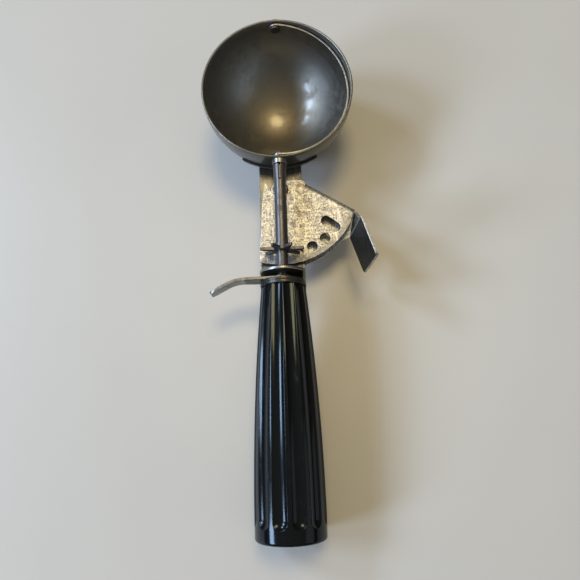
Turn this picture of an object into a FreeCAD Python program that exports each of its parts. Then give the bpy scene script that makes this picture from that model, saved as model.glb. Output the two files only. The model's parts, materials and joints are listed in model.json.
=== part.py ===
# Lever ice cream scoop: a round bowl with a turning scraper, driven through a toothed
# wheel by a thumb lever that is one folded sheet straddling the frame strip.
# +Y runs along the scraper shaft from the butt of the handle to the bowl, +X points
# to the thumb lever and +Z out of the bowl's mouth. The origin is the centre of the
# handle's butt end. Millimetres.

import FreeCAD
import Part
import math
import os
import Sketcher
from FreeCAD import Placement, Rotation, Vector

# Driving sizes, grouped by the piece that they belong to
SIZES = {
    "handle_length": 96.2,
    "handle_top_radius": 8.9,
    "handle_butt_radius": 13.56,
    "butt_band": 5.4,
    "butt_round": 1.2,
    "flute_land": 0.62,
    "flute_depth": 1.1,
    "flute_end": 5.4,
    "tang_radius": 3.0,
    "tang_length": 58.0,
    "tang_head_radius": 4.2,
    "tang_head_height": 0.7,
    "frame_sheet": 1.2,
    "strip_width": 18.6,
    "strip_drop": 9.55,
    "saddle_sheet": 1.0,
    "saddle_width": 33.0,
    "saddle_top": 8.0,
    "saddle_bottom": 24.0,
    "rest_sheet": 1.2,
    "rest_width": 11.6,
    "rest_straight": 15.5,
    "rest_bend_radius": 17.0,
    "rest_bend_angle": 28.0,
    "rest_tip_length": 7.0,
    "rest_round": 3.0,
    "bracket_sheet": 1.1,
    "bracket_height": 5.3,
    "star_lift": 9.1,
    "star_sheet": 1.3,
    "window_room": 1.0,
    "star_radius": 9.2,
    "star_root_radius": 4.1,
    "tooth_tip_half": 0.6,
    "tooth_foot_half": 1.3,
    "hole_ring": 29.0,
    "hole_step": 13.0,
    "hole_radius": 2.25,
    "slot_length": 4.9,
    "slot_radius": 2.15,
    "leaf_sheet": 0.95,
    "leaf_gap": 3.45,
    "leaf_radius": 33.5,
    "leaf_step": 0.8,
    "leaf_right_angle": 61.3,
    "leaf_left_angle": 16.8,
    "boss_radius": 4.1,
    "notch_corner_x": 6.6,
    "notch_corner_y": 3.8,
    "notch_angle": 30.0,
    "leaf_waist_x": 8.1,
    "leaf_waist_y": 5.5,
    "top_edge": 8.8,
    "fold_reach": 8.3,
    "fold_angle": 31.65,
    "fold_start": 8.0,
    "fold_end": 32.4,
    "relief_depth": 1.0,
    "relief_above": 1.0,
    "relief_below": 9.0,
    "pad_sheet": 1.1,
    "pad_root_x": 31.0,
    "pad_root_y": 11.6,
    "pad_heel_x": 29.1,
    "pad_heel_y": 21.2,
    "pad_length": 17.0,
    "pad_angle": 17.8,
    "pad_height": 13.0,
    "pad_lean_x": 2.4,
    "pad_lean_y": 0.8,
    "pad_shoulder": 1.0,
    "pad_waist": 2.0,
    "pad_round": 1.6,
    "rivet_radius": 1.75,
    "rivet_head_radius": 3.3,
    "rivet_head_height": 1.3,
    "rivet_tail_radius": 2.8,
    "rivet_tail_height": 0.8,
    "bush_radius": 2.4,
    "washer_radius": 3.4,
    "washer_sheet": 0.4,
    "wire": 0.6,
    "coil_radius": 4.2,
    "spring_tail_y": 7.5,
    "arm_reach": 0.05,
    "arm_run": 18.0,
    "bowl_radius": 32.8,
    "bowl_wall": 1.0,
    "bowl_skirt": 3.5,
    "bowl_lift": 43.2,
    "blade_gap": 0.4,
    "blade_sheet": 0.8,
    "blade_width": 9.0,
    "blade_tab_radius": 2.7,
    "blade_rest_angle": 10.0,
    "pin_radius": 1.6,
    "pin_head_radius": 2.2,
    "pin_head_height": 0.8,
    "eyelet_radius": 2.2,
    "eyelet_rim_radius": 3.12,
    "eyelet_rim_length": 2.1,
    "tip_rim_radius": 2.9,
    "tip_rim_sheet": 0.5,
    "shaft_radius": 2.55,
    "shaft_end_radius": 2.9,
    "shaft_splay": 7.0,
    "shaft_lower_radius": 2.35,
    "journal_radius": 2.1,
    "journal_length": 0.9,
    "slit_width": 0.9,
    "slit_length": 7.0,
    "collar_radius": 2.95,
    "collar_length": 2.2,
    "running": 0.05,
    "seat": 0.02,
    "end_play": 0.3,
}
FLUTES = 12
COIL_STEPS = 4
TEETH = 7
ROUND_HOLES = 4

doc = FreeCAD.newDocument("IceCreamScoop")
sheet = doc.addObject("Spreadsheet::Sheet", "Sizes")
for row, (alias, figure) in enumerate(SIZES.items(), 1):
    sheet.set(f"A{row}", alias)
    sheet.set(f"B{row}", str(figure))
    sheet.setAlias(f"B{row}", alias)
doc.recompute()


class Size:
    """A size that keeps its value together with the sheet formula that gives it."""

    def __init__(self, value, formula):
        self.value = value
        self.formula = formula

    def __add__(self, other):
        return Size(self.value + value(other), f"({self.formula} + {formula(other)})")

    def __sub__(self, other):
        return Size(self.value - value(other), f"({self.formula} - {formula(other)})")

    def __mul__(self, other):
        return Size(self.value * value(other), f"({self.formula} * {formula(other)})")

    def __truediv__(self, other):
        return Size(self.value / value(other), f"({self.formula} / {formula(other)})")

    def __rsub__(self, other):
        return Size(value(other) - self.value, f"({formula(other)} - {self.formula})")

    def __neg__(self):
        return Size(-self.value, f"(0 - {self.formula})")

    __radd__ = __add__
    __rmul__ = __mul__


def value(size):
    return size.value if isinstance(size, Size) else size


def formula(size):
    return size.formula if isinstance(size, Size) else f"({size})"


def sine(angle):
    return Size(math.sin(math.radians(value(angle))), f"sin({formula(angle)})")


def cosine(angle):
    return Size(math.cos(math.radians(value(angle))), f"cos({formula(angle)})")


def arcsine(ratio):
    return Size(math.degrees(math.asin(value(ratio))), f"asin({formula(ratio)})")


def root(square):
    return Size(math.sqrt(value(square)), f"sqrt({formula(square)})")


class Sheet:
    """The driving sizes by name, as Size values bound to the sheet's cells."""

    def __getattr__(self, alias):
        return Size(SIZES[alias], f"Sizes.{alias}")


s = Sheet()

# Stations along the scraper shaft, from the butt to the bowl
plate_top = s.handle_length + s.frame_sheet
foot_top = plate_top + s.bracket_sheet
rest_top = foot_top + s.rest_sheet
ear_top = plate_top + s.bracket_height
ear_under = ear_top - s.bracket_sheet
star_place = ear_top + s.star_lift
star_under = star_place - s.star_sheet / 2
star_top = star_place + s.star_sheet / 2
pivot = star_place + s.hole_ring
bowl_centre = pivot + s.bowl_lift
eyelet_end = bowl_centre - s.bowl_radius - s.eyelet_rim_length
shaft_top = eyelet_end - s.end_play

# Heights of the leaves below the shaft's axis: the holes' pitch sets the wheel's
leaf_middle = s.hole_ring * s.hole_step * TEETH / 360
leaf_top = s.leaf_sheet / 2 - leaf_middle
leaf_under = leaf_top - s.leaf_sheet
back_top = leaf_under - s.leaf_gap
back_under = back_top - s.leaf_sheet
fold_radius = s.leaf_sheet + s.leaf_gap / 2
fold_middle = leaf_top - fold_radius
strip_top = -s.strip_drop
strip_under = strip_top - s.frame_sheet

# Scraper radii inside the bowl
blade_outer = s.bowl_radius - s.bowl_wall - s.blade_gap
blade_inner = blade_outer - s.blade_sheet

ALONG_Y = Rotation(Vector(1, 0, 0), -90)


def bind(thing, path, size):
    thing.setExpression(path, formula(size))


def place(thing, x=0, y=0, z=0, turn=Rotation()):
    thing.Placement = Placement(Vector(value(x), value(y), value(z)), turn)
    for axis, size in (("x", x), ("y", y), ("z", z)):
        if isinstance(size, Size):
            bind(thing, f".Placement.Base.{axis}", size)
    return thing


def new_body(name):
    return doc.addObject("PartDesign::Body", name)


def origin_part(body, role):
    return next(part for part in body.Origin.OriginFeatures if part.Role == role)


def pin_point(drawing, geometry, spot, x, y, tag):
    """Bind a sketch point's distances from the sketch's origin, each where it is given."""
    for axis, size, line in (("X", x, -2), ("Y", y, -1)):
        if size is None:
            continue
        if value(size) == 0 and not isinstance(size, Size):
            drawing.addConstraint(Sketcher.Constraint("PointOnObject", geometry, spot, line))
            continue
        rule = Sketcher.Constraint(f"Distance{axis}", -1, 1, geometry, spot, value(size))
        index = drawing.addConstraint(rule)
        drawing.renameConstraint(index, f"{tag}_{axis.lower()}")
        bind(drawing, f"Constraints.{tag}_{axis.lower()}", size)


def new_sketch(body, name, plane, lift=0):
    drawing = body.newObject("Sketcher::SketchObject", name)
    drawing.AttachmentSupport = (origin_part(body, plane), [""])
    drawing.MapMode = "FlatFace"
    bind(drawing, ".AttachmentOffset.Base.z", lift)
    return drawing


def add_outline(drawing, corners, arcs=None, tag="corner"):
    """Draw a closed outline through the corners. arcs maps the number of the edge that
    leaves a corner to its centre's x and y, the turn (1 left, -1 right) and the axes
    that pin the centre."""
    arcs = arcs or {}
    ends = []
    for index, (x, y) in enumerate(corners):
        after = corners[(index + 1) % len(corners)]
        start = Vector(value(x), value(y), 0)
        stop = Vector(value(after[0]), value(after[1]), 0)
        if index in arcs:
            cx, cy, turn, pinned = arcs[index]
            centre = Vector(value(cx), value(cy), 0)
            first, last = (start, stop) if turn > 0 else (stop, start)
            angles = [math.atan2(p.y - centre.y, p.x - centre.x) for p in (first, last)]
            circle = Part.Circle(centre, Vector(0, 0, 1), (start - centre).Length)
            edge = drawing.addGeometry(Part.ArcOfCircle(circle, *angles), False)
            ends.append((edge, 1, 2) if turn > 0 else (edge, 2, 1))
            pin_point(drawing, edge, 3, cx if "x" in pinned else None,
                      cy if "y" in pinned else None, f"{tag}_{index}_centre")
        else:
            edge = drawing.addGeometry(Part.LineSegment(start, stop), False)
            ends.append((edge, 1, 2))
    for index, (edge, _, last) in enumerate(ends):
        following, first, _ = ends[(index + 1) % len(ends)]
        drawing.addConstraint(Sketcher.Constraint("Coincident", edge, last, following, first))
    for index, (x, y) in enumerate(corners):
        edge, first, _ = ends[index]
        pin_point(drawing, edge, first, x, y, f"{tag}_{index}")
    return drawing


def add_circle(drawing, radius, x=0, y=0, tag="circle"):
    centre = Vector(value(x), value(y), 0)
    circle = Part.Circle(centre, Vector(0, 0, 1), value(radius))
    edge = drawing.addGeometry(circle, False)
    index = drawing.addConstraint(Sketcher.Constraint("Radius", edge, value(radius)))
    drawing.renameConstraint(index, f"{tag}_radius")
    bind(drawing, f"Constraints.{tag}_radius", radius)
    pin_point(drawing, edge, 3, x, y, tag)
    return drawing


def pad(body, name, drawing, length):
    feature = body.newObject("PartDesign::Pad", name)
    feature.Profile = (drawing, [""])
    bind(feature, "Length", length)
    return feature


def pocket(body, name, drawing, length, reverse=False):
    feature = body.newObject("PartDesign::Pocket", name)
    feature.Profile = (drawing, [""])
    feature.Reversed = reverse
    bind(feature, "Length", length)
    return feature


def revolve(body, name, drawing):
    feature = body.newObject("PartDesign::Revolution", name)
    feature.Profile = (drawing, [""])
    feature.ReferenceAxis = (drawing, ["V_Axis"])
    feature.Angle = 360
    return feature


def turned(name, profile, arcs=None, y=0):
    """A piece turned about the shaft's axis, from (radius, y) profile corners."""
    body = new_body(name)
    drawing = add_outline(new_sketch(body, f"{name}_profile", "XY_Plane"), profile, arcs)
    revolve(body, f"{name}_turn", drawing)
    return place(body, y=y)


def upright(name, profile, arcs=None, x=0, y=0):
    """A piece turned about a line along Z, from (radius, z) profile corners."""
    body = new_body(name)
    drawing = add_outline(new_sketch(body, f"{name}_profile", "XZ_Plane"), profile, arcs)
    revolve(body, f"{name}_turn", drawing)
    return place(body, x=x, y=y)


def plate(name, plane, corners, low, thick, arcs=None):
    """A flat piece: an outline on an origin plane, lifted by low and padded by thick."""
    body = new_body(name)
    drawing = add_outline(new_sketch(body, f"{name}_outline", plane, low), corners, arcs)
    pad(body, f"{name}_pad", drawing, thick)
    return body


def ball(name, radius, y=0):
    thing = doc.addObject("Part::Sphere", name)
    bind(thing, "Radius", radius)
    return place(thing, y=y, turn=Rotation(Vector(0, 0, 1), 180))


def rod(name, radius, length, x=0, y=0, z=0, turn=Rotation()):
    thing = doc.addObject("Part::Cylinder", name)
    bind(thing, "Radius", radius)
    bind(thing, "Height", length)
    return place(thing, x, y, z, turn)


def block(name, low, high):
    thing = doc.addObject("Part::Box", name)
    for side, start, stop in zip(("Length", "Width", "Height"), low, high):
        bind(thing, side, stop - start)
    return place(thing, *low)


def cut(name, base, tool):
    thing = doc.addObject("Part::Cut", name)
    thing.Base = base
    thing.Tool = tool
    return thing


def common(name, base, tool):
    thing = doc.addObject("Part::Common", name)
    thing.Base = base
    thing.Tool = tool
    return thing


def fuse(name, *things):
    thing = doc.addObject("Part::MultiFuse", name)
    thing.Shapes = list(things)
    thing.Refine = True
    return thing


def arch_corners(radius, foot):
    """An arch seen along the shaft: straight sides up from foot, round over the top."""
    return [(-radius, foot), (radius, foot), (radius, 0), (-radius, 0)], {
        2: (0, 0, 1, "y")}


def make_handle():
    """The fluted grip: turned on one long arc, with flutes that run out at the top."""
    body = new_body("handle")
    swell = s.handle_butt_radius - s.handle_top_radius
    reach = s.handle_length - s.butt_band
    sweep = (reach * reach + swell * swell) / (2 * swell)
    corners = [
        (0, 0),
        (s.handle_butt_radius - s.butt_round, 0),
        (s.handle_butt_radius, s.butt_round),
        (s.handle_butt_radius, s.butt_band),
        (s.handle_top_radius, s.handle_length),
        (0, s.handle_length),
    ]
    arcs = {
        1: (s.handle_butt_radius - s.butt_round, s.butt_round, 1, "y"),
        3: (s.handle_butt_radius - sweep, s.butt_band, 1, "y"),
    }
    drawing = add_outline(new_sketch(body, "handle_profile", "XY_Plane"), corners, arcs)
    revolve(body, "handle_turn", drawing)
    bore = add_circle(new_sketch(body, "handle_bore", "XZ_Plane", -s.handle_length),
                      s.tang_radius + s.seat)
    pocket(body, "handle_bore_cut", bore, s.tang_length + s.end_play, reverse=True)
    doc.recompute()
    run_out = s.handle_butt_radius * math.sin(math.pi / FLUTES) - s.flute_land / 2
    flute_radius = (run_out * run_out / s.flute_depth + s.flute_depth) / 2
    cutter_ring = sweep + flute_radius - s.flute_depth
    start = s.flute_end + run_out
    flute = body.newObject("PartDesign::SubtractiveTorus", "flute")
    flute.AttachmentSupport = (origin_part(body, "XY_Plane"), [""])
    flute.MapMode = "FlatFace"
    bind(flute, "Radius1", cutter_ring)
    bind(flute, "Radius2", flute_radius)
    bind(flute, "Angle3", arcsine(s.handle_length / cutter_ring))
    bind(flute, ".AttachmentOffset.Base.x", s.handle_butt_radius - sweep)
    bind(flute, ".AttachmentOffset.Base.y", start)
    end = body.newObject("PartDesign::SubtractiveSphere", "flute_end")
    end.AttachmentSupport = (origin_part(body, "XY_Plane"), [""])
    end.MapMode = "FlatFace"
    bind(end, "Radius", flute_radius)
    bind(end, ".AttachmentOffset.Base.x",
         s.handle_butt_radius - s.flute_depth + flute_radius)
    bind(end, ".AttachmentOffset.Base.y", start)
    doc.recompute()
    ring = body.newObject("PartDesign::PolarPattern", "flutes")
    ring.Originals = [flute, end]
    ring.Axis = (origin_part(body, "Y_Axis"), [""])
    ring.Angle = 360
    ring.Occurrences = FLUTES
    body.Tip = ring
    body.Placement = Placement(Vector(), Rotation(Vector(0, 1, 0), 180 / FLUTES))
    return body


def make_tang():
    """The bolt that clamps the three plates to the handle."""
    return turned("tang_bolt", [
        (0, s.handle_length - s.tang_length),
        (s.tang_radius, s.handle_length - s.tang_length),
        (s.tang_radius, rest_top),
        (s.tang_head_radius, rest_top),
        (s.tang_head_radius, rest_top + s.tang_head_height),
        (0, rest_top + s.tang_head_height),
    ])


def make_frame():
    """Strip, upturned end plate and the saddle that hugs the bowl, as one sheet."""
    half = s.strip_width / 2
    strip = block("strip", (-half, s.handle_length, strip_under),
                  (half, bowl_centre, strip_top))
    corners, arcs = arch_corners(half, strip_under)
    end = plate("strip_end", "XZ_Plane", corners, -plate_top, s.frame_sheet, arcs)
    shell = cut("saddle_shell", ball("saddle_outer", s.bowl_radius + s.saddle_sheet,
                                     bowl_centre),
                ball("saddle_inner", s.bowl_radius + s.seat, bowl_centre))
    wide = s.saddle_width / 2
    window = plate("saddle_outline", "XZ_Plane", [
        (-wide, -s.saddle_top), (-half, -s.saddle_bottom),
        (half, -s.saddle_bottom), (wide, -s.saddle_top)], -bowl_centre, s.bowl_radius * 2)
    saddle = common("saddle", shell, window)
    joined = fuse("frame_blank", strip, end, saddle)
    hollow = cut("frame_cup", joined, ball("bowl_space", s.bowl_radius + s.seat,
                                           bowl_centre))
    tooth_room = s.star_radius / 2
    star_window = block("star_window",
                        (-tooth_room, star_under - s.window_room,
                         strip_under - s.frame_sheet),
                        (tooth_room, star_top + s.window_room,
                         strip_top + s.frame_sheet))
    tang_hole = rod("tang_hole", s.tang_radius + s.seat, s.frame_sheet * 3,
                    y=s.handle_length - s.frame_sheet, turn=ALONG_Y)
    pivot_hole = rod("strip_pivot_hole", s.rivet_radius + s.seat, s.frame_sheet * 3,
                     y=pivot, z=strip_under - s.frame_sheet)
    spring_hole = rod("strip_spring_hole", s.wire + s.running * 2, s.frame_sheet * 3,
                      y=pivot + s.spring_tail_y, z=strip_under - s.frame_sheet)
    relief = block("fold_relief", (half - s.relief_depth, pivot - s.relief_below,
                                   strip_under - s.frame_sheet),
                   (half + s.relief_depth, pivot + s.relief_above,
                    strip_top + s.frame_sheet))
    tools = fuse("frame_tools", star_window, tang_hole, pivot_hole, spring_hole, relief)
    return cut("frame", hollow, tools)


def make_finger_rest():
    """A tongue clamped on the bracket's foot, reaching left as a rest for the finger."""
    half = s.rest_width / 2
    inner = s.rest_bend_radius - s.rest_sheet
    turn_x = -s.rest_straight
    turn_y = rest_top - s.rest_bend_radius
    cos_bend = cosine(s.rest_bend_angle)
    sin_bend = sine(s.rest_bend_angle)
    top_x = turn_x - s.rest_bend_radius * sin_bend
    top_y = turn_y + s.rest_bend_radius * cos_bend
    low_x = turn_x - inner * sin_bend
    low_y = turn_y + inner * cos_bend
    tip_x = s.rest_tip_length * cos_bend
    tip_y = s.rest_tip_length * sin_bend
    side = plate("rest_side", "XY_Plane", [
        (half, foot_top),
        (half, rest_top),
        (turn_x, rest_top),
        (top_x, top_y),
        (top_x - tip_x, top_y - tip_y),
        (low_x - tip_x, low_y - tip_y),
        (low_x, low_y),
        (turn_x, foot_top),
    ], -half, s.rest_width, {2: (turn_x, turn_y, 1, "y"), 6: (turn_x, turn_y, -1, "y")})
    end = top_x - tip_x
    bend = s.rest_round
    tongue = plate("rest_tongue", "XZ_Plane", [
        (end + bend, -half), (0, -half), (0, half), (end + bend, half),
        (end, half - bend), (end, bend - half),
    ], -rest_top, s.rest_bend_radius, {
        1: (0, 0, 1, "x"),
        3: (end + bend, half - bend, 1, "x"),
        5: (end + bend, bend - half, 1, "x"),
    })
    hole = rod("rest_hole", s.tang_radius + s.seat, s.rest_sheet * 3,
               y=foot_top - s.rest_sheet, turn=ALONG_Y)
    return cut("finger_rest", common("rest_blank", side, tongue), hole)


def make_bracket():
    """The folded bearing bracket: foot, right wall and the ear that carries the shaft."""
    half = s.strip_width / 2
    inside = half - s.bracket_sheet
    band = plate("bracket_band", "XY_Plane", [
        (-half, plate_top), (half, plate_top), (half, ear_top), (-half, ear_top),
        (-half, ear_under), (inside, ear_under), (inside, foot_top), (-half, foot_top),
    ], strip_top + s.end_play, s.strip_drop + half)
    corners, arcs = arch_corners(half, strip_top + s.end_play)
    outline = plate("bracket_outline", "XZ_Plane", corners, -ear_top, s.bracket_height,
                    arcs)
    folded = common("bracket_blank", band, outline)
    bearing = rod("bearing_hole", s.journal_radius + s.running, s.bracket_sheet * 3,
                  y=ear_under - s.bracket_sheet, turn=ALONG_Y)
    hole = rod("foot_hole", s.tang_radius + s.seat, s.bracket_sheet * 2,
               y=plate_top - s.bracket_sheet / 2, turn=ALONG_Y)
    return cut("bearing_bracket", folded, fuse("bracket_holes", bearing, hole))


def around_pivot(radius, angle):
    """A point at an angle from straight down, turning towards the thumb."""
    return radius * sine(angle), -radius * cosine(angle)


def make_lever():
    """The thumb lever: two leaves joined by a fold, and the thumb pad."""
    along = cosine(s.fold_angle), -sine(s.fold_angle)
    across = sine(s.fold_angle), cosine(s.fold_angle)

    def fold_point(out, run):
        return out * across[0] + run * along[0], out * across[1] + run * along[1]

    crease = s.fold_reach - fold_radius
    top_right = (s.top_edge, s.boss_radius)
    shoulder = fold_point(s.fold_reach, s.fold_start)
    crease_start = fold_point(crease, s.fold_start)
    crease_end = fold_point(crease, s.fold_end)
    notch_apex = (-s.boss_radius * cosine(s.notch_angle),
                  -s.boss_radius * sine(s.notch_angle))

    front = new_body("front_leaf")
    corners = [
        (-s.notch_corner_x, s.notch_corner_y),
        notch_apex,
        (0, s.boss_radius),
        top_right,
        shoulder,
        crease_start,
        crease_end,
        around_pivot(s.leaf_radius, s.leaf_right_angle),
        around_pivot(s.leaf_radius, -s.leaf_left_angle),
        (-s.leaf_waist_x, -s.leaf_waist_y),
    ]
    arcs = {1: (0, 0, -1, "y"), 7: (0, 0, -1, "y")}
    drawing = add_outline(new_sketch(front, "front_outline", "XY_Plane", leaf_under),
                          corners, arcs)
    pad(front, "front_pad", drawing, s.leaf_sheet)
    holes = new_sketch(front, "rack_holes", "XY_Plane", leaf_under)
    for index in range(ROUND_HOLES):
        x, y = around_pivot(s.hole_ring, s.hole_step * index)
        add_circle(holes, s.hole_radius, x if index else 0, y, f"hole_{index}")
    pocket(front, "rack_cut", holes, s.leaf_sheet, reverse=True)
    slot_angle = s.hole_step * ROUND_HOLES
    slot = new_sketch(front, "slot_outline", "XY_Plane", leaf_under)
    aside = s.slot_radius * cosine(slot_angle), s.slot_radius * sine(slot_angle)
    far = around_pivot(s.hole_ring, slot_angle)
    near = around_pivot(s.hole_ring - s.slot_length, slot_angle)
    add_outline(slot, [
        (near[0] + aside[0], near[1] + aside[1]),
        (near[0] - aside[0], near[1] - aside[1]),
        (far[0] - aside[0], far[1] - aside[1]),
        (far[0] + aside[0], far[1] + aside[1]),
    ], {0: (near[0], near[1], 1, "x"), 2: (far[0], far[1], 1, "x")})
    pocket(front, "slot_cut", slot, s.leaf_sheet, reverse=True)

    back_radius = s.leaf_radius + s.leaf_step
    heel = (s.pad_heel_x, -s.pad_heel_y)
    back = plate("back_leaf", "XY_Plane", [
        (-s.boss_radius, 0),
        (0, s.boss_radius),
        top_right,
        shoulder,
        crease_start,
        crease_end,
        (s.pad_root_x + s.pad_sheet / 2, -s.pad_root_y),
        (s.pad_heel_x + s.pad_sheet / 2, -s.pad_heel_y),
        around_pivot(back_radius, s.leaf_right_angle - s.hole_step),
        around_pivot(back_radius, -s.leaf_left_angle),
    ], back_under, s.leaf_sheet, {0: (0, 0, -1, "y"), 8: (0, 0, -1, "y")})

    fold = new_body("fold")
    inner = s.leaf_gap / 2
    ring = add_outline(new_sketch(fold, "fold_section", "YZ_Plane", s.fold_start), [
        (crease, fold_middle + fold_radius), (crease, fold_middle + inner),
        (crease, fold_middle - inner), (crease, fold_middle - fold_radius),
    ], {1: (crease, fold_middle, -1, "x"), 3: (crease, fold_middle, 1, "x")})
    pad(fold, "fold_pad", ring, s.fold_end - s.fold_start)
    bind(fold, ".Placement.Rotation.Angle", -s.fold_angle)

    rise = s.pad_height - back_under
    tip = (heel[0] + s.pad_length * sine(s.pad_angle),
           heel[1] - s.pad_length * cosine(s.pad_angle))
    side = s.pad_sheet * cosine(s.pad_angle), s.pad_sheet * sine(s.pad_angle)
    band = doc.addObject("Sketcher::SketchObject", "pad_band")
    bind(band, ".Placement.Base.z", back_under)
    add_outline(band, [
        (s.pad_root_x, -s.pad_root_y), heel, tip,
        (tip[0] + side[0], tip[1] + side[1]),
        (heel[0] + side[0], heel[1] + side[1]),
        (s.pad_root_x + s.pad_sheet, -s.pad_root_y),
    ])
    leaning = doc.addObject("Part::Extrusion", "pad_slab")
    leaning.Base = band
    leaning.DirMode = "Custom"
    leaning.Solid = True
    bind(leaning, ".Dir.x", s.pad_lean_x)
    bind(leaning, ".Dir.y", s.pad_lean_y)
    bind(leaning, ".Dir.z", rise)
    bind(leaning, "LengthFwd", root(s.pad_lean_x * s.pad_lean_x
                                    + s.pad_lean_y * s.pad_lean_y + rise * rise))
    bend = s.pad_round
    high_end = tip[1] + s.pad_lean_y
    outline = plate("pad_outline", "YZ_Plane", [
        (s.pad_shoulder - s.pad_root_y, back_under),
        (s.pad_shoulder - s.pad_root_y, fold_middle),
        (s.pad_waist + s.pad_lean_y - s.pad_heel_y, s.pad_height / 2),
        (s.pad_lean_y - s.pad_heel_y, s.pad_height),
        (high_end + bend, s.pad_height),
        (high_end, s.pad_height - bend),
        (tip[1], back_under + bend),
        (tip[1] + bend, back_under),
    ], heel[0] - s.pad_length, s.pad_length * 2, {
        4: (high_end + bend, s.pad_height - bend, 1, "x"),
        6: (tip[1] + bend, back_under + bend, 1, "x"),
    })
    thumb = common("thumb_pad", leaning, outline)
    rivet_hole = rod("lever_pivot_hole", s.rivet_radius + s.running,
                     leaf_top - back_under + s.leaf_sheet * 2,
                     z=back_under - s.leaf_sheet)
    blank = fuse("lever_blank", front, back, fold, thumb)
    return place(cut("thumb_lever", blank, rivet_hole), y=pivot)


def make_pivot_pieces():
    """Rivet, spacer bush and washer of the lever's pivot."""
    head_under = leaf_top + s.running
    tail_top = back_under - s.running
    dome = s.rivet_head_height / 2
    rivet = upright("lever_pivot_rivet", [
        (0, tail_top - s.rivet_tail_height),
        (s.rivet_tail_radius, tail_top - s.rivet_tail_height),
        (s.rivet_tail_radius, tail_top),
        (s.rivet_radius, tail_top),
        (s.rivet_radius, head_under),
        (s.rivet_head_radius, head_under),
        (s.rivet_head_radius, head_under + dome),
        (s.rivet_head_radius - dome, head_under + s.rivet_head_height),
        (0, head_under + s.rivet_head_height),
    ], y=pivot)
    bush = upright("pivot_bush", [
        (s.rivet_radius + s.seat, strip_top),
        (s.bush_radius, strip_top),
        (s.bush_radius, leaf_under - s.running),
        (s.rivet_radius + s.seat, leaf_under - s.running),
    ], y=pivot)
    washer = upright("pivot_washer", [
        (s.rivet_radius + s.seat, strip_under - s.washer_sheet),
        (s.washer_radius, strip_under - s.washer_sheet),
        (s.washer_radius, strip_under),
        (s.rivet_radius + s.seat, strip_under),
    ], y=pivot)
    return [rivet, bush, washer]


def arc_towards(start, corner, stop):
    """The arc that leaves start towards corner and arrives at stop from it."""
    middle = (start + stop) * 0.5
    half = (start - middle).Length
    rise = (corner - middle).Length
    bulge = half * math.tan(math.atan2(rise, half) / 2)
    return Part.Arc(start, middle + (corner - middle).normalize() * bulge, stop).toShape()


def smooth_pair(start, heading, stop, arrival):
    """Two arcs that join two points of a coil and keep both directions."""
    span = stop - start
    both = span.dot(heading + arrival)
    bend = 2 * (1 - heading.dot(arrival))
    reach = (math.sqrt(both * both + bend * span.dot(span)) - both) / bend
    first = start + heading * reach
    second = stop - arrival * reach
    joint = (first + second) * 0.5
    return [arc_towards(start, first, joint), arc_towards(joint, second, stop)]


def make_spring():
    """The return spring: one loop round the pivot, a tail hooked into the strip and an
    arm that bears on the inside of the fold. The loop climbs from the tail's level to
    the arm's, so that the two cross without touching."""
    low = value(strip_top + s.wire / 2 + s.seat)
    high = value(leaf_under - s.wire / 2 - s.running)
    radius = value(s.coil_radius)
    hook = Vector(0, value(s.spring_tail_y), low)
    normal = math.radians(90 - value(s.fold_angle))
    wall = value(s.fold_reach) - value(fold_radius) + value(s.arm_reach)
    run = value(s.arm_run)
    arm_end = Vector(wall * math.cos(normal) + run * math.sin(normal),
                     wall * math.sin(normal) - run * math.cos(normal), high)
    tail_distance = math.hypot(hook.x, hook.y)
    arm_distance = math.hypot(arm_end.x, arm_end.y)
    first = math.atan2(hook.y, hook.x) - math.acos(radius / tail_distance)
    last = (math.atan2(arm_end.y, arm_end.x) + math.acos(radius / arm_distance)
            - 2 * math.pi)

    def on_coil(share):
        turn = first + (last - first) * share
        height = low + (high - low) * (1 - math.cos(math.pi * share)) / 2
        climb = (high - low) * math.pi * math.sin(math.pi * share) / 2
        length = radius * abs(last - first)
        heading = Vector(math.sin(turn), -math.cos(turn), climb / length).normalize()
        return Vector(radius * math.cos(turn), radius * math.sin(turn), height), heading

    stations = [on_coil(step / COIL_STEPS) for step in range(COIL_STEPS + 1)]
    towards = (stations[0][0] - hook).normalize()
    bend = value(s.wire)
    below = Vector(hook.x, hook.y, value(strip_under))
    drop = hook - Vector(0, 0, bend)
    edges = [Part.makeLine(below, drop), arc_towards(drop, hook, hook + towards * bend)]
    edges.append(Part.makeLine(hook + towards * bend, stations[0][0]))
    for (start, heading), (stop, arrival) in zip(stations, stations[1:]):
        edges += smooth_pair(start, heading, stop, arrival)
    edges.append(Part.makeLine(stations[-1][0], arm_end))
    path = Part.Wire(edges)
    ring = Part.Wire(Part.makeCircle(bend / 2, below, Vector(0, 0, 1)))
    spring = doc.addObject("Part::Feature", "return_spring")
    spring.Shape = path.makePipeShell([ring], True, False)
    spring.Placement = Placement(Vector(0, value(pivot), 0), Rotation())
    tail_line = Part.makeLine(hook, stations[0][0])
    arm_line = Part.makeLine(stations[-1][0], arm_end)
    gap = tail_line.distToShape(arm_line)[0] - bend
    print("spring: least gap to itself", round(gap, 3))
    print("spring: wire length", round(path.Length, 1), "volume error",
          round(spring.Shape.Volume / (path.Length * math.pi * bend * bend / 4) - 1, 4))
    return spring


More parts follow.
